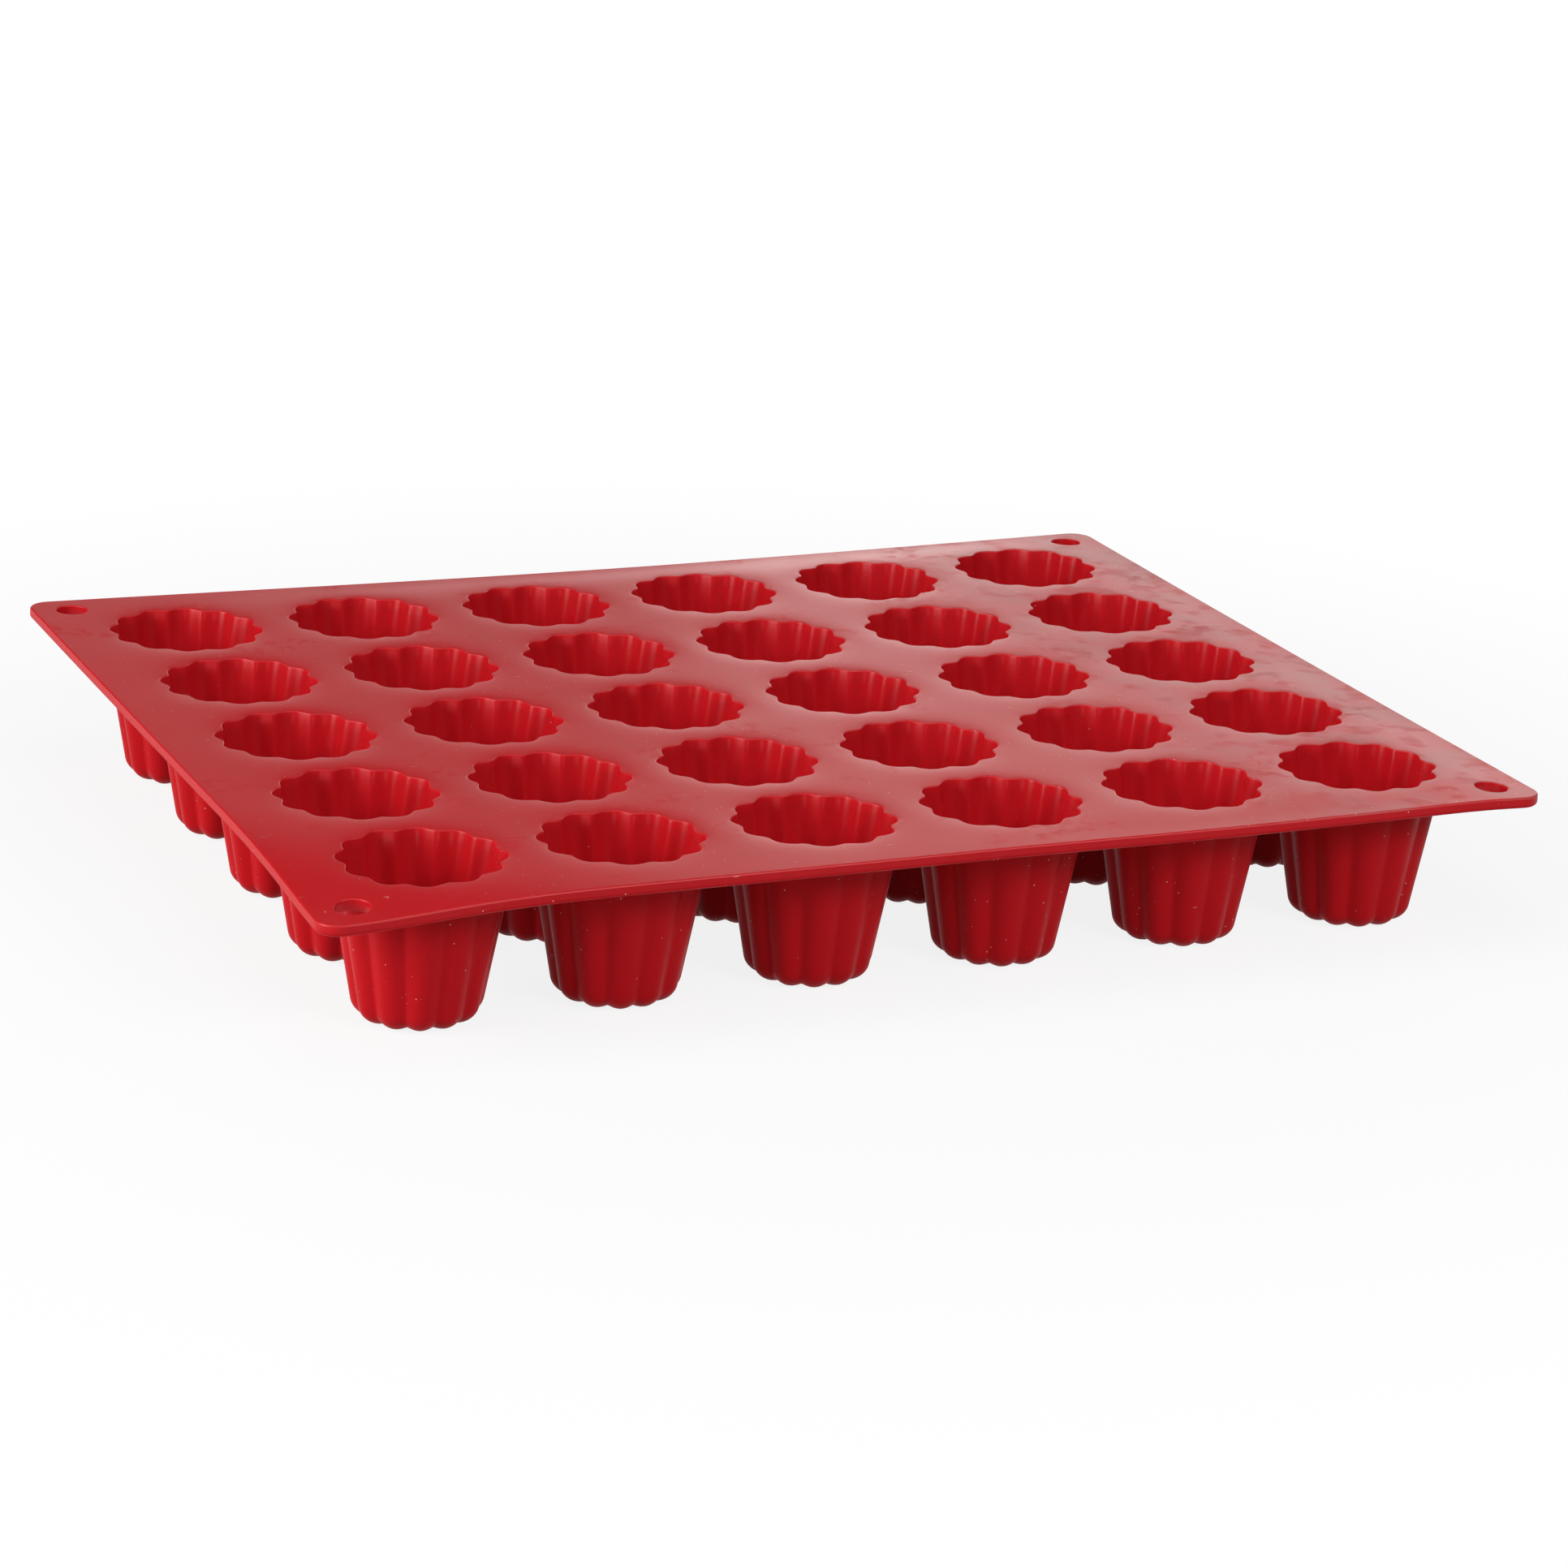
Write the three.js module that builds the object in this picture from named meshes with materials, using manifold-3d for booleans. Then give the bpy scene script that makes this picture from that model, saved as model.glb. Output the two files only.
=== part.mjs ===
// A baking mould of soft silicone: fluted cups hanging in a grid from one flat sheet.
// Millimetres. X runs along the long side, Y along the short side, Z is up.
// The cups stand on Z = 0, with the grid centred on the Z axis.

import * as THREE from 'three';
import { mergeVertices } from 'three/addons/utils/BufferGeometryUtils.js';
import Module from 'manifold-3d';

// Grid of cups
const columnCount = 6;
const rowCount = 5;
const columnLand = 6.7; // flat sheet left between neighbours along X
const rowLand = 5.1; // flat sheet left between neighbours along Y
const endLand = 13.75; // flat sheet outside the grid at the short sides
const sideLand = 12.3; // flat sheet outside the grid at the long sides

// Sheet
const sheetThickness = 3;
const sheetCornerRadius = 6;
const hangHoleDiameter = 8.6;
const hangHoleEndInset = 10.5; // hole centre to the short side
const hangHoleSideInset = 9.8; // hole centre to the long side
const foldClearance = 0.25; // cup wall to the strip that folds

// Cup, with radii to the middle of the flutes
const mouldHeight = 40.2; // cup base to the sheet's top face
const mouthRadius = 20; // inside, at the sheet's top face
const cupWall = 2;
const cupFloor = 2;
const cupBaseRadius = 14.65; // outside, where the sloping wall would reach the base
const cupEdgeRadius = 5.6; // rounding between wall and base, outside
const fluteCount = 12;
const fluteDepth = 1.4; // valley to crest

// How finely round forms are cut into flat faces
const outsideEdgeSteps = 2;
const insideEdgeSteps = 1;
const cornerSteps = 8;

const siliconeColour = '#b01f28';
const siliconeRoughness = 0.42;
const cutMargin = 1; // how far a cutting body reaches past what it cuts

const rimRadius = mouthRadius + cupWall;
const columnPitch = 2 * rimRadius + columnLand;
const rowPitch = 2 * rimRadius + rowLand;
const columnXs = gridPlaces(columnCount, columnPitch);
const rowYs = gridPlaces(rowCount, rowPitch);
const halfLength = columnXs[columnCount - 1] + rimRadius + endLand;
const halfWidth = rowYs[rowCount - 1] + rimRadius + sideLand;
const sheetUnderside = mouldHeight - sheetThickness;
const foldHalfWidth = columnLand / 2 - foldClearance;
const wallSlope = (rimRadius - cupBaseRadius) / mouldHeight;
const wallTilt = Math.atan(wallSlope);

const wasm = await Module();
wasm.setup();

// Places of a row of things, a pitch apart and centred on zero.
function gridPlaces(count, pitch) {
  return Array.from({ length: count }, (_, i) => (i - (count - 1) / 2) * pitch);
}

function solidOf(geometry) {
  const bare = geometry.index ? geometry.toNonIndexed() : geometry.clone();
  bare.deleteAttribute('normal');
  bare.deleteAttribute('uv');
  const merged = mergeVertices(bare);
  return new wasm.Manifold(new wasm.Mesh({
    numProp: 3,
    vertProperties: new Float32Array(merged.attributes.position.array),
    triVerts: new Uint32Array(merged.index.array),
  }));
}

function geometryOf(solid) {
  const mesh = solid.getMesh();
  const geometry = new THREE.BufferGeometry();
  geometry.setAttribute('position', new THREE.BufferAttribute(new Float32Array(mesh.vertProperties), 3));
  geometry.setIndex(new THREE.BufferAttribute(new Uint32Array(mesh.triVerts), 1));
  const faceted = geometry.toNonIndexed();
  faceted.computeVertexNormals();
  return faceted;
}

// Half section of a cup's inside or outside surface, from the axis at the base out and up through some
// heights, then back to the axis. The inset is how far the surface lies inside the outer one.
function cupSection(inset, baseHeight, edgeRadius, edgeSteps, heights) {
  const radiusAt = (height) => cupBaseRadius - inset + wallSlope * height;
  const edgeHeight = baseHeight + edgeRadius;
  const edgeCentre = radiusAt(edgeHeight) - edgeRadius / Math.cos(wallTilt);
  const section = [new THREE.Vector2(0, baseHeight)];
  for (let i = 0; i <= edgeSteps; i++) {
    const angle = -Math.PI / 2 + (i / edgeSteps) * (Math.PI / 2 - wallTilt);
    section.push(new THREE.Vector2(
      edgeCentre + edgeRadius * Math.cos(angle),
      edgeHeight + edgeRadius * Math.sin(angle),
    ));
  }
  for (const height of heights) {
    section.push(new THREE.Vector2(radiusAt(height), height));
  }
  section.push(new THREE.Vector2(0, heights.at(-1)));
  return section;
}

// Turns a half section about Z and draws it in at every valley, with crests between. The flutes have
// their full depth on the wall and fade towards the axis.
function flutedBody(section, fullRadius) {
  const geometry = new THREE.LatheGeometry(section, 2 * fluteCount);
  geometry.rotateX(Math.PI / 2);
  const position = geometry.attributes.position;
  for (let i = 0; i < position.count; i++) {
    const radius = Math.hypot(position.getX(i), position.getY(i));
    if (radius === 0) continue;
    const angle = Math.atan2(position.getY(i), position.getX(i));
    const depth = (fluteDepth / 2) * Math.min(1, radius / fullRadius);
    const scale = 1 - (depth * Math.cos(fluteCount * angle)) / radius;
    position.setX(i, position.getX(i) * scale);
    position.setY(i, position.getY(i) * scale);
  }
  return solidOf(geometry);
}

function cavitySolid() {
  const edgeRadius = cupEdgeRadius - cupWall;
  const heights = [sheetUnderside, mouldHeight, mouldHeight + cutMargin];
  const inside = cupSection(cupWall, cupFloor, edgeRadius, insideEdgeSteps, heights);
  return flutedBody(inside, cupBaseRadius - cupWall);
}

function cupSolid(cavity) {
  const outside = cupSection(0, 0, cupEdgeRadius, outsideEdgeSteps, [sheetUnderside]);
  return flutedBody(outside, cupBaseRadius).subtract(cavity);
}

// The whole sheet, with round corners, a hole to hang it by in each corner and a mouth over each cup.
function sheetSolid(cavity) {
  const outline = new THREE.Shape();
  const cornerX = halfLength - sheetCornerRadius;
  const cornerY = halfWidth - sheetCornerRadius;
  outline.absarc(cornerX, cornerY, sheetCornerRadius, 0, Math.PI / 2);
  outline.absarc(-cornerX, cornerY, sheetCornerRadius, Math.PI / 2, Math.PI);
  outline.absarc(-cornerX, -cornerY, sheetCornerRadius, Math.PI, 1.5 * Math.PI);
  outline.absarc(cornerX, -cornerY, sheetCornerRadius, 1.5 * Math.PI, 2 * Math.PI);
  outline.closePath();
  const holeX = halfLength - hangHoleEndInset;
  const holeY = halfWidth - hangHoleSideInset;
  for (const [x, y] of [[holeX, holeY], [-holeX, holeY], [-holeX, -holeY], [holeX, -holeY]]) {
    const hole = new THREE.Path();
    hole.absarc(x, y, hangHoleDiameter / 2, 0, 2 * Math.PI, true);
    outline.holes.push(hole);
  }
  const plate = new THREE.ExtrudeGeometry(outline, {
    depth: sheetThickness,
    bevelEnabled: false,
    curveSegments: cornerSteps,
  });
  plate.translate(0, 0, sheetUnderside);
  let sheet = solidOf(plate);
  for (const x of columnXs) {
    for (const y of rowYs) {
      sheet = sheet.subtract(cavity.translate([x, y, 0]));
    }
  }
  return sheet;
}

// The part of the sheet between two places along X.
function sheetStrip(sheet, left, right) {
  const block = new THREE.BoxGeometry(
    right - left,
    2 * (halfWidth + cutMargin),
    sheetThickness + 2 * cutMargin,
  );
  block.translate((left + right) / 2, 0, sheetUnderside + sheetThickness / 2);
  return sheet.intersect(solidOf(block));
}

function siliconeMesh(name, geometry) {
  const material = new THREE.MeshStandardMaterial({
    color: siliconeColour,
    roughness: siliconeRoughness,
    metalness: 0,
  });
  const mesh = new THREE.Mesh(geometry, material);
  mesh.name = name;
  return mesh;
}

const mould = new THREE.Group();
const cavity = cavitySolid();
const sheet = sheetSolid(cavity);
const cupGeometry = geometryOf(cupSolid(cavity));

// The sheet is stiff over each column of cups and folds along the narrow strips between the columns.
const foldXs = gridPlaces(columnCount - 1, columnPitch);
const panelLefts = [-halfLength - cutMargin, ...foldXs.map((x) => x + foldHalfWidth)];
const panelRights = [...foldXs.map((x) => x - foldHalfWidth), halfLength + cutMargin];
panelLefts.forEach((left, i) => {
  mould.add(siliconeMesh(`sheet_panel_${i + 1}`, geometryOf(sheetStrip(sheet, left, panelRights[i]))));
});
foldXs.forEach((x, i) => {
  const strip = sheetStrip(sheet, panelRights[i], panelLefts[i + 1]);
  mould.add(siliconeMesh(`fold_strip_${i + 1}_${i + 2}`, geometryOf(strip)));
});

columnXs.forEach((x, i) => {
  const column = new THREE.Group();
  column.position.x = x;
  rowYs.forEach((y, j) => {
    const cup = siliconeMesh(`cup_${i + 1}_${j + 1}`, cupGeometry);
    cup.position.y = y;
    column.add(cup);
  });
  mould.add(column);
});

export default mould;
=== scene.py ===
import math

import bpy
import numpy as np
from mathutils import Matrix, Vector
from mathutils.geometry import delaunay_2d_cdt


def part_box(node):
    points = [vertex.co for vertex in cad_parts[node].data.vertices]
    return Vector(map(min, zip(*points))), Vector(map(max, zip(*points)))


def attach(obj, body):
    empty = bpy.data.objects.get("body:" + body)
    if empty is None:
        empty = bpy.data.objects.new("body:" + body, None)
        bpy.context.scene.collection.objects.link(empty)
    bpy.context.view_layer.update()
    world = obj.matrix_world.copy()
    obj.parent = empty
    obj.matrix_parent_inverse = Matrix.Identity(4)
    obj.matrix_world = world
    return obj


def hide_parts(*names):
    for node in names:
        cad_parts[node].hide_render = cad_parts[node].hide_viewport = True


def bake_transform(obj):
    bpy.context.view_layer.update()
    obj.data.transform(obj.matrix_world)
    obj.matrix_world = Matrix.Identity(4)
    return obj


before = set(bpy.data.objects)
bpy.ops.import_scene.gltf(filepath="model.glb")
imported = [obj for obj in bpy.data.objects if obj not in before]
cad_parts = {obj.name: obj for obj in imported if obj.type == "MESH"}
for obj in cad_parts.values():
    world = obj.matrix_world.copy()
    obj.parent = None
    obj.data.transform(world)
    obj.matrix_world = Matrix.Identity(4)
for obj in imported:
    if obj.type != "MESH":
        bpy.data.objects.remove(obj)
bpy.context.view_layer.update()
scene = bpy.context.scene
scene.view_settings.view_transform = "Standard"
mm = 0.001


# Layout of the mould, read from the frame
def middle(node):
    low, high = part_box(node)
    return (low + high) / 2


cupNodes = [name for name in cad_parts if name.startswith("cup_")]
columnCount = max(int(name.split("_")[1]) for name in cupNodes)
rowCount = max(int(name.split("_")[2]) for name in cupNodes)
columnXs = np.array([middle(f"cup_{i + 1}_1").x for i in range(columnCount)])
rowYs = np.array([middle(f"cup_1_{j + 1}").y for j in range(rowCount)])
halfLength, halfWidth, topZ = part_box(f"sheet_panel_{columnCount}")[1]
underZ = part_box("sheet_panel_1")[0].z
sheetSize = f"{2 * halfLength / mm:.1f} x {2 * halfWidth / mm:.1f} mm"
print(f"layout: {columnCount} x {rowCount} cups, sheet {sheetSize}")


# Camera, standing in front and to the left
camera = {
    "aim": (3.02 * mm, -14.57 * mm, 20.08 * mm),
    "distance": 1281.0 * mm,
    "turn": 23.767,  # degrees from straight ahead, to the right
    "down": 17.845,
    "roll": 2.337,
    "lens": 111.66,
    "sensor": 36,
    "farClip": 60,
}


def makeCamera():
    data = bpy.data.cameras.new("camera")
    data.lens = camera["lens"]
    data.sensor_width = camera["sensor"]
    data.clip_end = camera["farClip"]
    holder = bpy.data.objects.new("camera", data)
    turn, down = math.radians(camera["turn"]), math.radians(camera["down"])
    ahead = Vector((math.sin(turn) * math.cos(down), math.cos(turn) * math.cos(down), -math.sin(down)))
    roll = Matrix.Rotation(math.radians(camera["roll"]), 4, "Z")
    place = Matrix.Translation(Vector(camera["aim"]) - camera["distance"] * ahead)
    holder.matrix_world = place @ ahead.to_track_quat("-Z", "Y").to_matrix().to_4x4() @ roll
    scene.collection.objects.link(holder)
    scene.camera = holder


makeCamera()
print("camera placed")


# Shader nodes
class Wire:  # a socket that can be used in sums
    def __init__(self, board, socket):
        self.board = board
        self.socket = socket

    def __add__(self, other):
        return self.board.maths("ADD", self, other)

    def __sub__(self, other):
        return self.board.maths("SUBTRACT", self, other)

    def __rsub__(self, other):
        return self.board.maths("SUBTRACT", other, self)

    def __mul__(self, other):
        return self.board.maths("MULTIPLY", self, other)

    def __truediv__(self, other):
        return self.board.maths("DIVIDE", self, other)

    def __rtruediv__(self, other):
        return self.board.maths("DIVIDE", other, self)

    __radd__ = __add__
    __rmul__ = __mul__

    def beside(self, name):  # another output of the same node
        return Wire(self.board, self.socket.node.outputs[name])


class Board:  # one material's or the world's nodes
    def __init__(self, owner):
        owner.use_nodes = True
        self.tree = owner.node_tree
        self.tree.nodes.clear()

    def add(self, kind, settings=None, sockets=None, out=0):
        node = self.tree.nodes.new(kind)
        for name, value in (settings or {}).items():
            setattr(node, name, value)
        for name, value in (sockets or {}).items():
            if isinstance(value, Wire):
                self.tree.links.new(value.socket, node.inputs[name])
            else:
                node.inputs[name].default_value = value
        return Wire(self, node.outputs[out]) if node.outputs else None

    def maths(self, operation, *values):
        return self.add("ShaderNodeMath", {"operation": operation}, dict(enumerate(values)))

    def ease(self, value, start, stop):  # 0 at start, 1 at stop, smooth between
        sockets = {"Value": value, "From Min": start, "From Max": stop}
        return self.add("ShaderNodeMapRange", {"interpolation_type": "SMOOTHSTEP"}, sockets)

    def mix(self, share, first, second):
        sockets = {0: share, 6: first, 7: second}  # by number, as the node's names repeat for each type
        return self.add("ShaderNodeMix", {"data_type": "RGBA"}, sockets, out=2)

    def noise(self, place, size, detail):  # size is the width of one blotch
        sockets = {"Vector": place, "Scale": 1 / size, "Detail": detail}
        return self.add("ShaderNodeTexNoise", None, sockets, out="Fac")

    def cells(self, place, scale):  # distance to the nearest of some points, scattered one to a cell
        return self.add("ShaderNodeTexVoronoi", None, {"Vector": place, "Scale": scale}, out="Distance")


# Red silicone, and the dust and lint that settle on it
silicone = {
    "red": (0.56, 0.0085, 0.0140, 1),
    "deepRed": (0.51, 0.0070, 0.0115, 1),
    "ior": 1.43,
    "depth": 0.4,  # share of the light that goes into the soft body
    "reach": (1.6 * mm, 0.35 * mm, 0.3 * mm),  # how far red, green and blue light spread in it
}
dirt = {
    "dust": (0.75, 0.50, 0.46, 1),
    "cover": 0.8,  # how much of the red a speck hides
    "speckRadius": 0.24 * mm,
    "core": 0.5,  # share of a speck's or a fibre's radius that is solid
    "fibreReach": (1.3 * mm, 0.11 * mm, 0.11 * mm),  # half the length and thickness of a fibre
    "fibreCell": 12.5,  # size of the cells that may hold a fibre, in reaches
    "fibreShare": 0.14,  # of the cells that do hold one
    "fibreTurns": (0.6, 2.1),  # radians
}


def specks(board, place, cell):
    edge = dirt["speckRadius"] / cell
    distance = board.cells(place, 1 / cell)
    return 1 - board.ease(distance, dirt["core"] * edge, edge)


def fibres(board, place, turn):
    # thin ellipsoids in a few of the cells of a stretched lattice
    stretch = [1 / reach for reach in dirt["fibreReach"]]
    sockets = {"Vector": place, "Rotation": (0, 0, turn), "Scale": stretch}
    stretched = board.add("ShaderNodeMapping", None, sockets)
    edge = 1 / dirt["fibreCell"]
    distance = board.cells(stretched, edge)
    chance = board.add("ShaderNodeSeparateColor", None, {"Color": distance.beside("Color")}, out="Red")
    fibre = 1 - board.ease(distance, dirt["core"] * edge, edge)
    return fibre * board.maths("LESS_THAN", chance, dirt["fibreShare"])


def lint(board, place, cell):
    spots = specks(board, place, cell)
    for turn in dirt["fibreTurns"]:
        spots = board.maths("MAXIMUM", spots, fibres(board, place, turn))
    return spots


def startSilicone(name):
    material = bpy.data.materials.new(name)
    board = Board(material)
    return material, board, board.add("ShaderNodeTexCoord", out="Object")


def cloudyRed(board, clouds):
    return board.mix(clouds, silicone["deepRed"], silicone["red"])


def finishSilicone(board, red, dust, roughness, height, shine):
    colour = board.mix(dust * dirt["cover"], red, dirt["dust"])
    sockets = {"Strength": 1, "Distance": mm, "Height": height}
    bump = board.add("ShaderNodeBump", None, sockets, out="Normal")
    shader = board.add("ShaderNodeBsdfPrincipled", None, {
        "Base Color": colour,
        "Roughness": roughness,
        "IOR": silicone["ior"],
        "Specular IOR Level": shine,
        "Subsurface Weight": silicone["depth"],
        "Subsurface Radius": silicone["reach"],
        "Subsurface Scale": 1,
        "Normal": bump,
    })
    board.add("ShaderNodeOutputMaterial", None, {"Surface": shader})


# Glossy top of the sheet, smeared all over and worn at the right end, where a paler veil is painted:
# partly dust, partly painted sheen
sheetFinish = {
    "clouds": (34 * mm, 3),  # size and detail of a noise
    "waves": (17 * mm, 2),
    "grain": (0.6 * mm, 2),
    "dents": (7 * mm, 1),
    "dentLevels": (0.5, 0.75),
    "smears": (22 * mm, 2),
    "smearLevels": (0.56, 0.70),
    "streaks": (3 * mm, 3),  # that make up a smear
    "streakLevels": (0.45, 0.65),
    "speckCell": 3.7 * mm,
    "wornAndSheenFrom": (40 * mm, 140 * mm),  # along the sheet, from not worn to fully worn; the painted sheen veil comes in with the wear
    "dustAndSheenVeil": (0.40, 0.10, 0.09, 1),  # a thin pale brownish veil where it is worn: partly dust, partly painted sheen
    "dustAndSheenLevels": (0.3, 0.7),
    "dustAndSheenShare": 0.6,
    "roughness": {"plain": 0.33, "clouds": 0.08, "grain": 0.04, "smears": 0.12, "dust": 0.2},
    "wornRoughness": {"dents": 0.08},
    "height": {"waves": 0.04, "grain": 0.003, "smears": 0.004, "dust": 0.02},  # mm
    "wornHeight": {"waves": 0.03, "dents": 0.07},
    "shine": 0.5,
}


def sheetSilicone():
    material, board, place = startSilicone("sheet_silicone")
    clouds = board.noise(place, *sheetFinish["clouds"])
    waves = board.noise(place, *sheetFinish["waves"])
    grain = board.noise(place, *sheetFinish["grain"])
    dents = board.ease(board.noise(place, *sheetFinish["dents"]), *sheetFinish["dentLevels"])
    smears = board.ease(board.noise(place, *sheetFinish["smears"]), *sheetFinish["smearLevels"])
    streaks = board.ease(board.noise(place, *sheetFinish["streaks"]), *sheetFinish["streakLevels"])
    smears = smears * streaks
    dust = lint(board, place, sheetFinish["speckCell"])
    along = board.add("ShaderNodeSeparateXYZ", None, {"Vector": place}, out="X")
    wornAndSheen = board.ease(along, *sheetFinish["wornAndSheenFrom"])
    # painted sheen: a paler brownish veil over the right end, patchy with the waves, standing partly for
    # dust and partly for the sheen there
    dustAndSheenVeil = wornAndSheen * board.ease(waves, *sheetFinish["dustAndSheenLevels"]) * sheetFinish["dustAndSheenShare"]
    red = board.mix(dustAndSheenVeil, cloudyRed(board, clouds), sheetFinish["dustAndSheenVeil"])
    rough, wornRough = sheetFinish["roughness"], sheetFinish["wornRoughness"]
    roughness = rough["plain"] + rough["clouds"] * clouds + rough["grain"] * grain
    roughness = roughness + rough["smears"] * smears + rough["dust"] * dust
    roughness = roughness + wornRough["dents"] * wornAndSheen * dents
    high, wornHigh = sheetFinish["height"], sheetFinish["wornHeight"]
    height = high["waves"] * waves + high["grain"] * grain
    height = height + high["smears"] * smears + high["dust"] * dust
    height = height + wornAndSheen * (wornHigh["waves"] * waves + wornHigh["dents"] * dents)
    finishSilicone(board, red, dust, roughness, height, sheetFinish["shine"])
    return material


# Smooth inside of the cups, with the tool's fine rings
insideFinish = {
    "clouds": (20 * mm, 2),  # size and detail of a noise
    "speckCell": 9 * mm,
    "ringPitch": 0.62 * mm,
    "ringWander": 0.6 * mm,
    "roughness": {"plain": 0.24, "clouds": 0.06, "dust": 0.2},
    "height": {"rings": 0.0014, "dust": 0.015},  # mm
    "shine": 0.24,
}


def insideSilicone():
    material, board, place = startSilicone("inside_silicone")
    clouds = board.noise(place, *insideFinish["clouds"])
    dust = specks(board, place, insideFinish["speckCell"])
    upright = board.add("ShaderNodeSeparateXYZ", None, {"Vector": place}, out="Z")
    wandering = upright + insideFinish["ringWander"] * clouds
    rings = board.maths("SINE", wandering * (2 * math.pi / insideFinish["ringPitch"]))
    rough, high = insideFinish["roughness"], insideFinish["height"]
    roughness = rough["plain"] + rough["clouds"] * clouds + rough["dust"] * dust
    height = high["rings"] * rings * clouds + high["dust"] * dust
    finishSilicone(board, cloudyRed(board, clouds), dust, roughness, height, insideFinish["shine"])
    return material


# Matt outside of the cups, and the sheet's edge, which shines more
outsideFinish = {
    "clouds": (16 * mm, 3),  # size and detail of a noise
    "grain": (0.5 * mm, 2),
    "speckCell": 3.7 * mm,
    "roughness": {"plain": 0.40, "clouds": 0.08, "grain": 0.04, "dust": 0.2},
    "height": {"clouds": 0.01, "grain": 0.004, "dust": 0.015},  # mm
    "shine": 0.08,
    "rimShine": 0.22,
}


def outsideSilicone(name, shine):
    material, board, place = startSilicone(name)
    clouds = board.noise(place, *outsideFinish["clouds"])
    grain = board.noise(place, *outsideFinish["grain"])
    dust = lint(board, place, outsideFinish["speckCell"])
    rough, high = outsideFinish["roughness"], outsideFinish["height"]
    roughness = rough["plain"] + rough["clouds"] * clouds + rough["grain"] * grain + rough["dust"] * dust
    height = high["clouds"] * clouds + high["grain"] * grain + high["dust"] * dust
    finishSilicone(board, cloudyRed(board, clouds), dust, roughness, height, shine)
    return material


sheetLook = sheetSilicone()
insideLook = insideSilicone()
outsideLook = outsideSilicone("outside_silicone", outsideFinish["shine"])
rimLook = outsideSilicone("rim_silicone", outsideFinish["rimShine"])
print("silicone finishes made")


# How the soft sheet lies, off dead flat
lie = {
    "middle": -0.36 * mm,
    "leanX": -0.26 * mm,
    "leanY": 0.30 * mm,
    "curlX": 0.90 * mm,
    "curlY": 0.36 * mm,
    "twist": -0.10 * mm,
    "mouthDip": 0.22 * mm,  # how far the sheet sinks towards each mouth
    "mouthReach": 3.5 * mm,
    "edgeHang": 1.4 * mm,  # droop of the free edge on the right, and along the back and front towards it
    "edgeReach": 13 * mm,
    "backFrom": (-170 * mm, 40 * mm),  # along the edge, from no droop to the full one
    "frontFrom": (0, 90 * mm),
    "frontShare": 0.5,
    "cornerHang": 3.7 * mm,  # the front left corner droops most
    "cornerReach": 37.5 * mm,
    "splay": 1.5,  # how much the cups lean out where the sheet curls up, against its slope
}

# A fluted cup
cup = {
    "flutes": 12,
    "mouthRadius": 20.0 * mm,  # inside, at the sheet's top, to the middle of the flutes
    "wall": 2.0 * mm,
    "floor": 2.0 * mm,
    "baseRadius": 14.65 * mm,  # outside, where the sloping wall would reach the base
    "edgeRound": 5.2 * mm,
    "rootRound": 0.5 * mm,  # outside, under the sheet
    "outsideDepth": 1.35 * mm,
    "outsideSoft": 0.07,  # how blunt a valley is, from 0 for a sharp groove
    "insideDepth": 1.75 * mm,
    "insideSoft": 0.45,
    "baseDepth": 0.48,  # share of the flutes' depth that is left where the base begins
    "flatShare": 0.5,  # where they end on the base, as a share of its flat
    "around": 192,
    "wallSteps": 16,
    "edgeSteps": 9,
    "flatSteps": 8,
    "roundSteps": 5,
}
wallSlope = (cup["mouthRadius"] + cup["wall"] - cup["baseRadius"]) / topZ
wallTilt = math.atan(wallSlope)


def ease(value, start, stop):
    share = np.clip((value - start) / (stop - start), 0, 1)
    return share * share * (3 - 2 * share)


def settle(points):
    x, y, z = points.T
    u, v = x / halfLength, y / halfWidth
    curl = lie["middle"] + lie["leanX"] * u + lie["leanY"] * v
    curl = curl + lie["curlX"] * u ** 2 + lie["curlY"] * v ** 2 + lie["twist"] * u * v
    rightPull, backPull, frontPull = (np.exp(-(far / lie["edgeReach"]) ** 2)
                                      for far in (halfLength - x, halfWidth - y, halfWidth + y))
    backPull = backPull * ease(x, *lie["backFrom"])
    frontPull = lie["frontShare"] * frontPull * ease(x, *lie["frontFrom"])
    curl = curl - lie["edgeHang"] * (1 - (1 - rightPull) * (1 - backPull) * (1 - frontPull))
    fromCorner = halfLength + x + halfWidth + y
    curl = curl - lie["cornerHang"] * np.exp(-(fromCorner / lie["cornerReach"]) ** 2)
    besideX = np.abs(x[:, None] - columnXs).min(1)
    besideY = np.abs(y[:, None] - rowYs).min(1)
    gap = np.maximum(np.hypot(besideX, besideY) - cup["mouthRadius"], 0)
    dip = lie["mouthDip"] * np.exp(-gap / lie["mouthReach"])
    raised = np.clip(z / underZ, 0, 1)  # the bases stay on the floor
    onTop = np.clip((z - underZ) / (topZ - underZ), 0, 1)
    splay = lie["splay"] * (lie["leanX"] + 2 * lie["curlX"] * u) / halfLength
    return np.column_stack((x + splay * (topZ - z), y, z + raised * curl - onTop * dip))


# Meshes, built up from rings of points
def atHeight(flat, height):
    return np.column_stack((flat, np.full(len(flat), height)))


def fullTurn(steps):
    return np.arange(steps) * 2 * math.pi / steps


meshing = {
    "clear": 0.5,  # least distance from a fill's points to its rims, in pitches
    "join": 1e-6,  # mm between points that count as one
    "crease": 50,  # degrees between faces that keep a sharp edge
}


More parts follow.
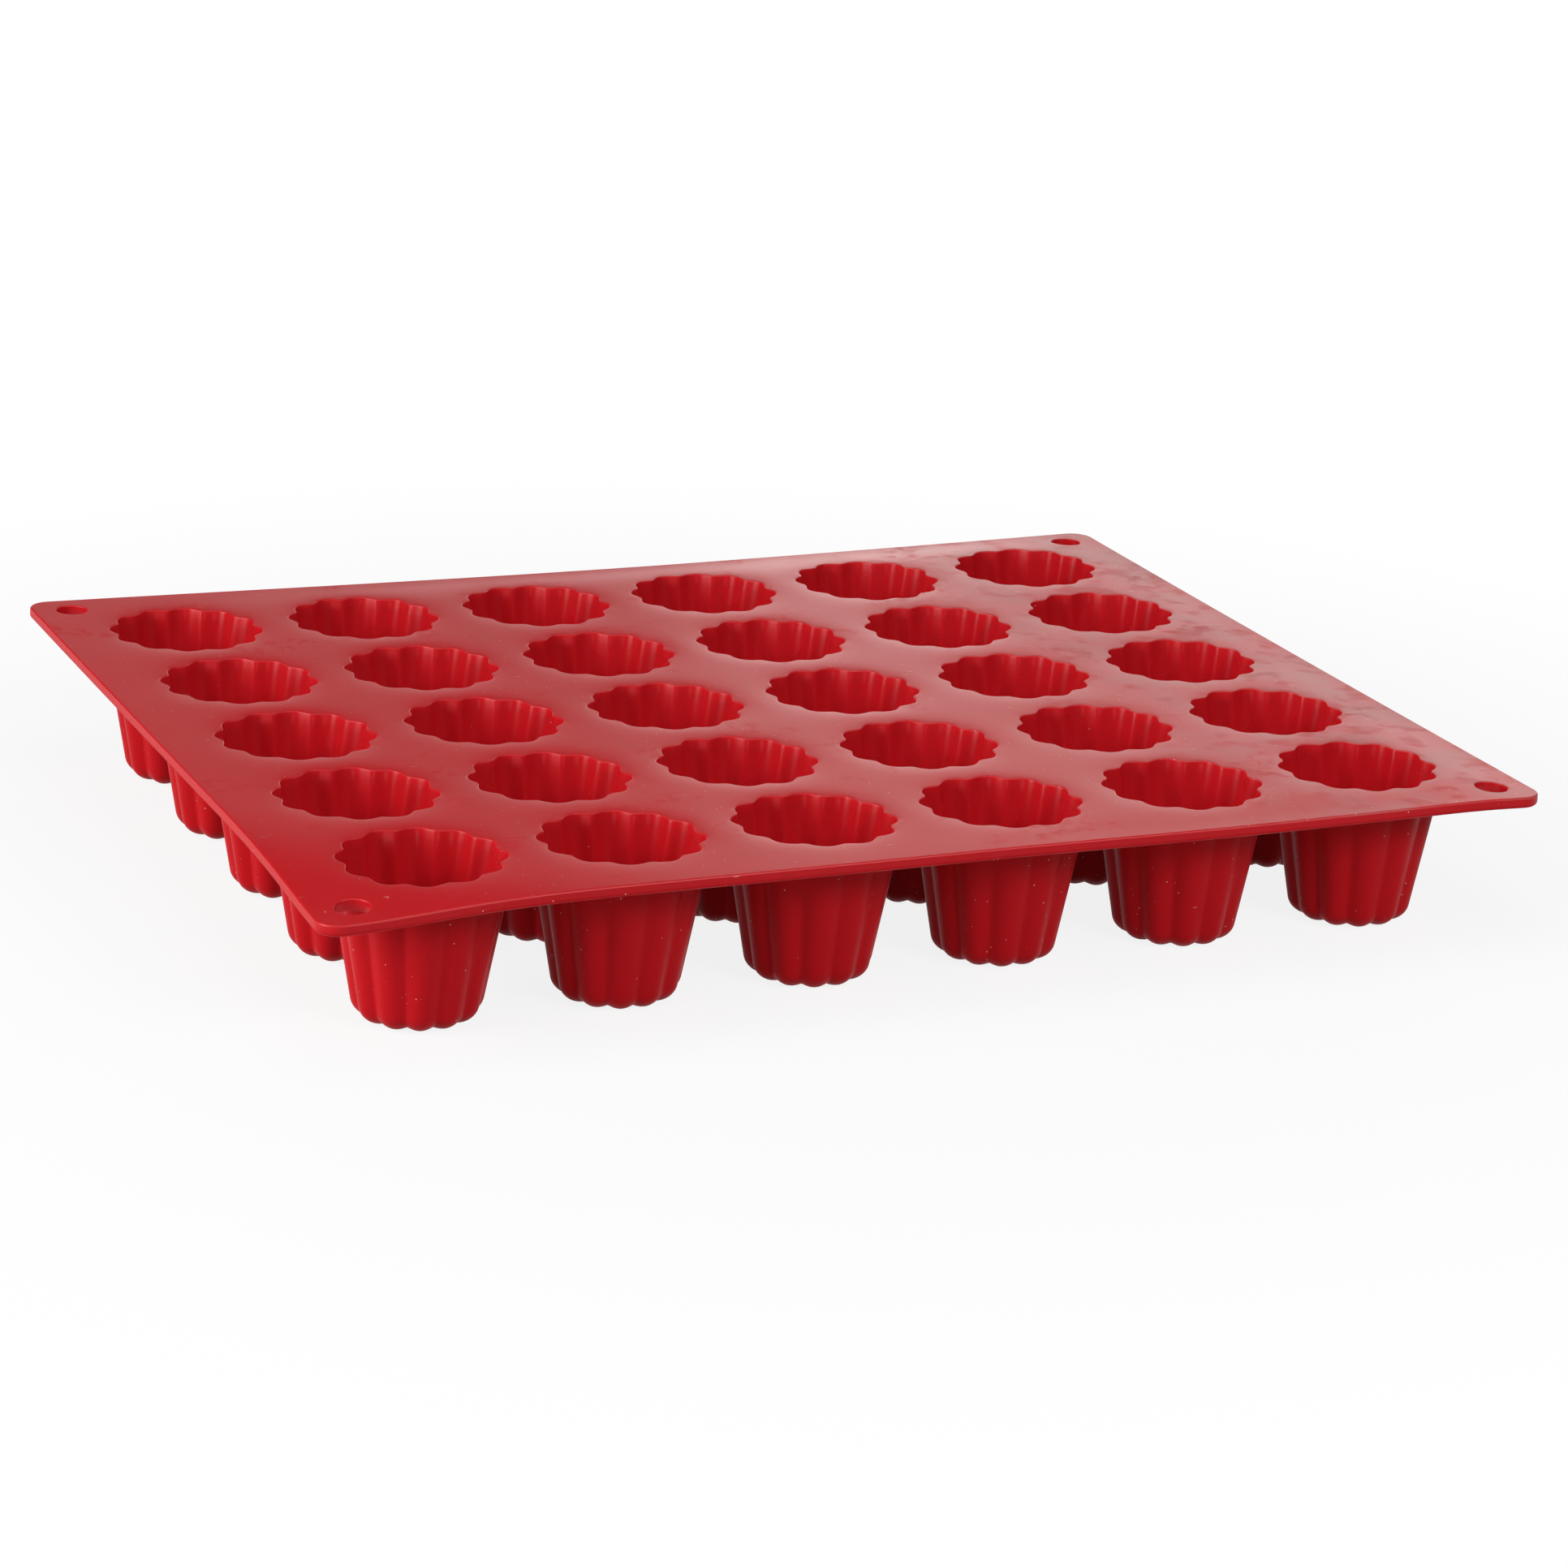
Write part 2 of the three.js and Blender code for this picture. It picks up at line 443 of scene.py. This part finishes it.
class Shell:  # the points and faces of one piece
    def __init__(self):
        self.points = []
        self.count = 0
        self.faces = []

    def add(self, points):
        self.points.append(np.asarray(points, float))
        self.count += len(points)
        return np.arange(self.count - len(points), self.count)

    def face(self, corners, look, flip=False):
        corners = np.atleast_2d(corners)
        self.faces.append((corners[:, ::-1] if flip else corners, look))

    def band(self, first, second, look, closed=True, flip=False):
        quads = np.column_stack((first, np.roll(first, -1), np.roll(second, -1), second))
        self.face(quads if closed else quads[:-1], look, flip)

    def fan(self, ring, hub, look, flip=False):
        self.face(np.column_stack((ring, np.roll(ring, -1), np.full(len(ring), hub))), look, flip)

    def fill(self, loop, holes, height, pitch, look, flip=False):
        # joins a loop and the rings of its holes by triangles, with a grid of points between
        points = np.vstack(self.points)
        low, high = points[loop, :2].min(0), points[loop, :2].max(0)
        steps = np.ceil((high - low) / pitch).astype(int)
        gridX = np.linspace(low[0], high[0], steps[0] + 1)[1:-1]
        gridY = np.linspace(low[1], high[1], steps[1] + 1)[1:-1]
        spots = np.array([(x, y) for x in gridX for y in gridY])
        rims = points[np.concatenate([loop, *holes]), :2]
        least = meshing["clear"] * pitch
        clear = np.array([np.hypot(*(rims - spot).T).min() > least for spot in spots])
        inHole = sum(self.inRing(points[hole, :2], spots) for hole in holes)
        spots = spots[clear & (inHole == 0)]
        extra = self.add(atHeight(spots, height))
        used = np.concatenate([loop, *holes, extra])
        edges, start = [], 0
        for ring in [loop, *holes]:
            edges += [(start + k, start + (k + 1) % len(ring)) for k in range(len(ring))]
            start += len(ring)
        flat = np.vstack(self.points)[used, :2]
        found = delaunay_2d_cdt([Vector(spot / mm) for spot in flat], edges, [], 0, meshing["join"])
        _, _, faces, sources, _, _ = found
        corners = np.array([[sources[corner][0] for corner in face] for face in faces])
        centres = flat[corners].mean(1)
        hidden = sum(self.inRing(points[hole, :2], centres) for hole in holes)
        self.face(used[corners[hidden == 0]], look, flip)

    @staticmethod
    def inRing(ring, spots):
        hub = ring.mean(0)
        out, reach = spots - hub, ring - hub
        angles = np.arctan2(reach[:, 1], reach[:, 0])
        order = np.argsort(angles)
        radii = np.hypot(*reach.T)
        facing = np.arctan2(out[:, 1], out[:, 0])
        bound = np.interp(facing, angles[order], radii[order], period=2 * math.pi)
        return np.hypot(*out.T) < bound

    def piece(self, name, looks):
        mesh = bpy.data.meshes.new(name)
        points = settle(np.vstack(self.points)).astype(np.float32)
        corners = np.concatenate([faces.ravel() for faces, look in self.faces]).astype(np.int32)
        sizes = np.concatenate([np.full(len(faces), faces.shape[1]) for faces, look in self.faces])
        slots = np.concatenate([np.full(len(faces), looks.index(look)) for faces, look in self.faces])
        mesh.vertices.add(len(points))
        mesh.vertices.foreach_set("co", points.ravel())
        mesh.loops.add(len(corners))
        mesh.loops.foreach_set("vertex_index", corners)
        mesh.polygons.add(len(sizes))
        mesh.polygons.foreach_set("loop_start", (np.cumsum(sizes) - sizes).astype(np.int32))
        mesh.polygons.foreach_set("material_index", slots.astype(np.int32))
        mesh.update(calc_edges=True)
        mesh.validate()
        mesh.shade_smooth()
        mesh.set_sharp_from_angle(angle=math.radians(meshing["crease"]))
        for look in looks:
            mesh.materials.append(look)
        made = bpy.data.objects.new(name, mesh)
        scene.collection.objects.link(made)
        return made


def wallRadius(height, inset=0):
    return cup["baseRadius"] - inset + wallSlope * height


def flutedRing(centre, radius, height, depth, soft, slant=0):
    # the flutes go inwards from the crests, along a line that slants from level (0) to upright (pi / 2)
    around = fullTurn(cup["around"])
    swing = np.sqrt(np.sin(cup["flutes"] / 2 * around) ** 2 + soft ** 2)
    crest = (swing - soft) / (math.sqrt(1 + soft ** 2) - soft)  # 0 in a valley, 1 on a crest
    reach = radius + depth * (crest - crest.mean()) * math.cos(slant)
    flat = np.column_stack((reach * np.cos(around), reach * np.sin(around)))
    return np.column_stack((flat + centre, height + depth * (1 - crest) * math.sin(slant)))


def rootArc(height, inset, radius):
    # rounding between the sheet's face at this height and the cup's wall, from the sheet inwards
    hubZ = height - radius
    hub = wallRadius(hubZ, inset) + radius / math.cos(wallTilt)
    angles = np.linspace(math.pi / 2, math.pi - wallTilt, cup["roundSteps"] + 1)
    return [(hub + radius * math.cos(a), hubZ + radius * math.sin(a)) for a in angles]


def wallSection(top, inset, base, edge):
    # radius, height, slant and share of the flutes: down the wall, round the lower edge, in to the axis
    hubZ = base + edge
    hub = wallRadius(hubZ, inset) - edge / math.cos(wallTilt)
    bottom = hubZ - edge * math.sin(wallTilt)
    heights = np.linspace(top, bottom, cup["wallSteps"] + 1)[:-1]
    section = [(wallRadius(height, inset), height, 0, 1) for height in heights]
    for share in np.linspace(0, 1, cup["edgeSteps"] + 1):
        angle = -wallTilt - share * (math.pi / 2 - wallTilt)
        deep = 1 - (1 - cup["baseDepth"]) * share
        spot = (hub + edge * math.cos(angle), hubZ + edge * math.sin(angle))
        section.append((*spot, share * math.pi / 2, deep))
    for share in np.linspace(1, 0, cup["flatSteps"] + 1)[1:-1]:
        deep = cup["baseDepth"] * ease(share, cup["flatShare"], 1)
        section.append((hub * share, base, math.pi / 2, deep))
    return section


def makeCup(column, row):
    node = f"cup_{column + 1}_{row + 1}"
    centre = np.array((columnXs[column], rowYs[row]))
    shell = Shell()
    root = rootArc(underZ, 0, cup["rootRound"])
    outside = [(*spot, 0, 1) for spot in root[:-1]] + wallSection(root[-1][1], 0, 0, cup["edgeRound"])
    inside = wallSection(underZ, cup["wall"], cup["floor"], cup["edgeRound"] - cup["wall"])

    def rings(section, depth, soft):
        for radius, height, slant, share in section:
            yield shell.add(flutedRing(centre, radius, height, depth * share, soft, slant))

    outer = list(rings(outside, cup["outsideDepth"], cup["outsideSoft"]))
    inner = list(rings(inside, cup["insideDepth"], cup["insideSoft"]))
    for upper, lower in zip(outer, outer[1:]):
        shell.band(upper, lower, outsideLook, flip=True)
    for upper, lower in zip(inner, inner[1:]):
        shell.band(upper, lower, insideLook)
    shell.band(outer[0], inner[0], outsideLook)
    shell.fan(outer[-1], shell.add([(*centre, 0)])[0], outsideLook, flip=True)
    shell.fan(inner[-1], shell.add([(*centre, cup["floor"])])[0], insideLook)
    made = shell.piece(f"silicone_cup_{column + 1}_{row + 1}", [outsideLook, insideLook])
    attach(made, f"column_{column + 1}")
    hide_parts(node)


for column in range(columnCount):
    for row in range(rowCount):
        makeCup(column, row)
print(f"{columnCount * rowCount} fluted cups made")


# The sheet, in panels over the columns with strips between them
sheet = {
    "cornerRadius": 6 * mm,
    "topRound": 0.5 * mm,
    "underRound": 1.0 * mm,
    "edgeFlat": 0.08 * mm,  # flat run that holds each rounding's shading
    "mouthRound": 0.3 * mm,
    "mouthRoll": 0.04 * mm,  # how far the edge of a mouth rolls down
    "mouthFlats": ((0.9 * mm, 0), (0.45 * mm, 0.3), (0.08 * mm, 1)),  # rings round it, and their shares
    "mouthSteps": 4,
    "holeDiameter": 8.6 * mm,
    "holeEndInset": 10.5 * mm,
    "holeSideInset": 9.8 * mm,
    "holeRound": 0.3 * mm,
    "holeAround": 48,
    "rimPitch": 4 * mm,
    "topPitch": 3 * mm,
    "underPitch": 6 * mm,
    "cornerSteps": 12,
    "roundSteps": 6,
    "seamSteps": 106,
    "stripSteps": 10,
}


def quarter(steps):
    return np.linspace(0, math.pi / 2, steps + 1)


def rimProfile():
    # distance out from the corner's centre and height, from the top round to the underside
    out, top, under = sheet["cornerRadius"], sheet["topRound"], sheet["underRound"]
    profile = [(out - top - sheet["edgeFlat"], topZ)]
    for a in quarter(sheet["roundSteps"]):
        profile.append((out - top + top * math.sin(a), topZ - top + top * math.cos(a)))
    for a in quarter(sheet["roundSteps"]):
        profile.append((out - under + under * math.cos(a), underZ + under - under * math.sin(a)))
    profile.append((out - under - sheet["edgeFlat"], underZ))
    return profile


def rimLine(start, stop, facing):
    start, stop = np.array(start), np.array(stop)
    steps = max(1, math.ceil(np.hypot(*(stop - start)) / sheet["rimPitch"]))
    spine = start + (stop - start) * np.linspace(0, 1, steps + 1)[:, None]
    return spine, np.tile((math.cos(facing), math.sin(facing)), (len(spine), 1))


def rimCorner(hub, facing):
    angles = facing + quarter(sheet["cornerSteps"])[1:-1]
    return np.tile(hub, (len(angles), 1)), np.column_stack((np.cos(angles), np.sin(angles)))


def joinPath(*parts):
    return np.vstack([part[0] for part in parts]), np.vstack([part[1] for part in parts])


def rimPaths(left, right):
    # spine points and facings of the free edge, anticlockwise from above, in one or two runs
    x, y = halfLength - sheet["cornerRadius"], halfWidth - sheet["cornerRadius"]
    front, end, back = -math.pi / 2, 0, math.pi / 2
    if left < -x:
        return [joinPath(rimLine((right, y), (-x, y), back), rimCorner((-x, y), back),
                         rimLine((-x, y), (-x, -y), math.pi), rimCorner((-x, -y), math.pi),
                         rimLine((-x, -y), (right, -y), front))]
    if right > x:
        return [joinPath(rimLine((left, -y), (x, -y), front), rimCorner((x, -y), front),
                         rimLine((x, -y), (x, y), end), rimCorner((x, y), end),
                         rimLine((x, y), (left, y), back))]
    return [rimLine((left, -y), (right, -y), front), rimLine((right, y), (left, y), back)]


def rimLooks():
    # the looks of the bands between the profile's points
    rounded = sheet["roundSteps"] + 1
    return [sheetLook] * rounded + [rimLook] + [outsideLook] * rounded


def addRim(shell, path):
    spine, facing = path
    rows = [shell.add(atHeight(spine + reach * facing, height)) for reach, height in rimProfile()]
    for upper, lower, look in zip(rows, rows[1:], rimLooks()):
        shell.band(upper, lower, look, closed=False, flip=True)
    return rows


def seamLine(x, start, stop, height):
    ys = np.linspace(start, stop, sheet["seamSteps"] + 1)[1:-1]
    return np.column_stack((np.full(len(ys), x), ys, np.full(len(ys), height)))


def addSeam(shell, x, front, back, flip):
    # the hidden face where a panel meets a strip
    # front and back are the end points of the rim, from the top to the underside
    points = np.vstack(shell.points)
    top = shell.add(seamLine(x, points[front[0], 1], points[back[0], 1], topZ))
    under = shell.add(seamLine(x, points[front[-1], 1], points[back[-1], 1], underZ))
    upper = np.concatenate(([front[0]], top, [back[0]]))
    lower = np.concatenate(([front[-1]], under, [back[-1]]))
    shell.band(lower, upper, sheetLook, closed=False, flip=flip)
    shell.face(front, sheetLook, flip)
    shell.face(back, sheetLook, not flip)
    return top, under


def addMouth(shell, centre):
    roll = sheet["mouthRoll"]
    arc = rootArc(topZ - roll, cup["wall"], sheet["mouthRound"])
    section = [(arc[0][0] + flat, topZ - roll * share) for flat, share in sheet["mouthFlats"]] + arc
    for height in np.linspace(arc[-1][1], underZ, sheet["mouthSteps"] + 1)[1:]:
        section.append((wallRadius(height, cup["wall"]), height))
    rings = [shell.add(flutedRing(centre, radius, height, cup["insideDepth"], cup["insideSoft"]))
             for radius, height in section]
    edge = len(sheet["mouthFlats"]) + cup["roundSteps"]
    for step, (upper, lower) in enumerate(zip(rings, rings[1:])):
        shell.band(upper, lower, sheetLook if step < edge else insideLook)
    return rings[0], rings[-1]


def addHole(shell, centre):
    rounding = sheet["holeRound"]
    hub = sheet["holeDiameter"] / 2 + rounding
    section = [(hub + sheet["edgeFlat"], topZ)]
    for a in quarter(sheet["roundSteps"]):
        section.append((hub - rounding * math.sin(a), topZ - rounding + rounding * math.cos(a)))
    for a in quarter(sheet["roundSteps"]):
        section.append((hub - rounding * math.cos(a), underZ + rounding - rounding * math.sin(a)))
    section.append((hub + sheet["edgeFlat"], underZ))
    around = fullTurn(sheet["holeAround"])
    circle = np.column_stack((np.cos(around), np.sin(around)))
    rings = [shell.add(atHeight(centre + radius * circle, height)) for radius, height in section]
    for step, (upper, lower) in enumerate(zip(rings, rings[1:])):
        shell.band(upper, lower, sheetLook if step <= sheet["roundSteps"] else insideLook)
    return rings[0], rings[-1]


def makePanel(column):
    node = f"sheet_panel_{column + 1}"
    low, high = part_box(node)
    shell = Shell()
    rims = [addRim(shell, path) for path in rimPaths(low.x, high.x)]
    first = [[row[0] for row in rows] for rows in rims]  # each run's end points, top to underside
    last = [[row[-1] for row in rows] for rows in rims]
    if column == 0:
        seam = addSeam(shell, high.x, last[0], first[0], False)
        loops = [np.concatenate((rims[0][k], seam[k])) for k in (0, -1)]
    elif column == columnCount - 1:
        seam = addSeam(shell, low.x, first[0], last[0], True)
        loops = [np.concatenate((rims[0][k], seam[k][::-1])) for k in (0, -1)]
    else:
        right = addSeam(shell, high.x, last[0], first[1], False)
        left = addSeam(shell, low.x, first[0], last[1], True)
        loops = [np.concatenate((rims[0][k], right[k], rims[1][k], left[k][::-1])) for k in (0, -1)]
    openings = [addMouth(shell, np.array((columnXs[column], y))) for y in rowYs]
    holeX, holeY = halfLength - sheet["holeEndInset"], halfWidth - sheet["holeSideInset"]
    for x in (-holeX, holeX):
        if low.x < x < high.x:
            openings += [addHole(shell, np.array((x, y))) for y in (-holeY, holeY)]
    upper, lower = zip(*openings)
    shell.fill(loops[0], upper, topZ, sheet["topPitch"], sheetLook)
    shell.fill(loops[1], lower, underZ, sheet["underPitch"], outsideLook, flip=True)
    made = shell.piece(f"silicone_sheet_{column + 1}", [sheetLook, insideLook, outsideLook, rimLook])
    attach(made, f"column_{column + 1}")
    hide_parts(node)


def makeStrip(fold):
    node = f"fold_strip_{fold + 1}_{fold + 2}"
    low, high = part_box(node)
    shell = Shell()
    y = halfWidth - sheet["cornerRadius"]
    profile = np.array(rimProfile())
    backEdge = np.column_stack((y + profile[:, 0], profile[:, 1]))
    frontEdge = np.column_stack((-y - profile[::-1, 0], profile[::-1, 1]))
    top = seamLine(0, frontEdge[-1, 0], backEdge[0, 0], topZ)[:, 1:]
    under = seamLine(0, backEdge[-1, 0], frontEdge[0, 0], underZ)[:, 1:]
    loop = np.vstack((frontEdge, top, backEdge, under))
    xs = np.linspace(low.x, high.x, sheet["stripSteps"] + 1)
    rings = [shell.add(np.column_stack((np.full(len(loop), x), loop))) for x in xs]
    overTop, overUnder = [sheetLook] * (len(top) + 1), [outsideLook] * (len(under) + 1)
    looks = rimLooks()[::-1] + overTop + rimLooks() + overUnder
    for near, far in zip(rings, rings[1:]):
        quads = np.column_stack((near, np.roll(near, -1), np.roll(far, -1), far))
        for quad, look in zip(quads, looks):
            shell.face(quad, look)
    shell.face(rings[0], outsideLook)
    shell.face(rings[-1], outsideLook, flip=True)
    made = shell.piece(f"silicone_fold_{fold + 1}_{fold + 2}", [sheetLook, outsideLook, rimLook])
    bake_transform(made)
    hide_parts(node)


for column in range(columnCount):
    makePanel(column)
for fold in range(columnCount - 1):
    makeStrip(fold)
print(f"sheet made in {columnCount} panels and {columnCount - 1} folds")


# Pale floor, white further off
floor = {
    "size": 14.0,
    "cells": 8,
    "height": -0.05 * mm,
    "colour": (0.86, 0.86, 0.86, 1),
    "bounce": (0.45, 0.45, 0.45, 1),  # what the floor gives back to the mould
    "white": (1, 1, 1, 1),
    "nearWhite": 0.86,
    "nearRadius": 0.19,
    "farRadius": 0.42,
}


def makeFloor():
    cells = floor["cells"]
    bpy.ops.mesh.primitive_grid_add(x_subdivisions=cells, y_subdivisions=cells, size=floor["size"])
    ground = bpy.context.object
    ground.name = "floor"
    ground.location.z = floor["height"]
    material = bpy.data.materials.new("floor")
    board = Board(material)
    place = board.add("ShaderNodeTexCoord", out="Object")
    distance = board.add("ShaderNodeVectorMath", {"operation": "LENGTH"}, {0: place}, out="Value")
    far = board.ease(distance, floor["nearRadius"], floor["farRadius"])
    direct = board.add("ShaderNodeLightPath", out="Is Camera Ray")
    seen = direct + direct.beside("Is Glossy Ray") + direct.beside("Is Transmission Ray")
    seen = board.maths("MINIMUM", seen, 1)
    matt = board.add("ShaderNodeBsdfDiffuse", None, {"Color": floor["colour"]})
    bounce = board.add("ShaderNodeBsdfDiffuse", None, {"Color": floor["bounce"]})
    white = board.add("ShaderNodeEmission", None, {"Color": floor["white"], "Strength": 1})
    share = floor["nearWhite"] + (1 - floor["nearWhite"]) * far
    look = board.add("ShaderNodeMixShader", None, {0: share, 1: matt, 2: white})
    shader = board.add("ShaderNodeMixShader", None, {0: seen, 1: bounce, 2: look})
    board.add("ShaderNodeOutputMaterial", None, {"Surface": shader})
    ground.data.materials.append(material)


makeFloor()


# Studio light: a glow and lamps on the left, lamps in front and above, white panels behind on the right
studio = {
    "glow": (1.65, 1.65, 1.65, 1),
    "dim": (0.044, 0.044, 0.044, 1),
    "glowFrom": (-0.995, -0.1),  # middle of the glow, seen from above
    "glowSpread": (0.70, 0.92),
    "glowRise": (0.28, 0.36),  # heights where the glow comes, from 0 for level to 1 for straight up
    "glowFall": (0.66, 0.76),
    "lampAim": (0, 0, 0.03),
    "lampTint": (1, 1, 1),
    "panelFacing": (-0.4035, -0.915, 0),  # towards the camera
    "panelTint": (1, 0.98, 0.945),
}
lamps = {
    "top": {"at": (-0.15, -0.1, 1.0), "size": (0.6, 0.6), "watts": 2.35},
    "left_low": {"at": (-0.9, -0.1, 0.16), "size": (0.5, 0.25), "watts": 2.1},
    "left_mid": {"at": (-0.82, -0.1, 0.4), "size": (0.4, 0.4), "watts": 2.9},
    "front_right": {"at": (0.6, -0.8, 0.65), "size": (0.5, 0.4), "watts": 1.2},
    "front_high": {"at": (0.35, -1.15, 0.75), "size": (0.5, 0.4), "watts": 6.8},
    "front_low": {"at": (-0.62, -1.4, 0.13), "size": (0.5, 0.12), "watts": 1.0},
}
panels = {
    "panel_left": {"at": (0.107, 0.717, 0.09), "size": (0.56, 0.13), "watts": 0.52},
    "panel_gap": {"at": (0.310, 0.628, 0.145), "size": (0.12, 0.19), "watts": 0.135},
    "panel_middle": {"at": (0.557, 0.519, 0.19), "size": (0.42, 0.28), "watts": 0.71},
    "panel_right": {"at": (0.694, 0.459, 0.36), "size": (0.3, 0.18), "watts": 0.41},
}


def makeWorld():
    world = bpy.data.worlds.new("studio")
    scene.world = world
    board = Board(world)
    direction = board.add("ShaderNodeTexCoord", out="Generated")
    across = board.add("ShaderNodeSeparateXYZ", None, {"Vector": direction}, out="X")
    along, up = across.beside("Y"), across.beside("Z")
    level = board.maths("SQRT", across * across + along * along)
    facing = (across * studio["glowFrom"][0] + along * studio["glowFrom"][1]) / level
    share = board.ease(facing, *studio["glowSpread"])
    share = share * board.ease(up, *studio["glowRise"]) * (1 - board.ease(up, *studio["glowFall"]))
    colour = board.mix(share, studio["dim"], studio["glow"])
    background = board.add("ShaderNodeBackground", None, {"Color": colour, "Strength": 1})
    board.add("ShaderNodeOutputWorld", None, {"Surface": background})


def makeLamp(name, values, facing, tint):
    data = bpy.data.lights.new(name, "AREA")
    data.shape = "RECTANGLE"
    data.size, data.size_y = values["size"]
    data.energy = values["watts"]
    data.color = tint
    lamp = bpy.data.objects.new(name, data)
    turn = facing.to_track_quat("-Z", "Y").to_matrix().to_4x4()
    lamp.matrix_world = Matrix.Translation(values["at"]) @ turn
    lamp.visible_camera = False
    scene.collection.objects.link(lamp)


makeWorld()
for name, values in lamps.items():
    makeLamp(name, values, Vector(studio["lampAim"]) - Vector(values["at"]), studio["lampTint"])
for name, values in panels.items():
    makeLamp(name, values, Vector(studio["panelFacing"]), studio["panelTint"])
print("floor, world and lamps made")
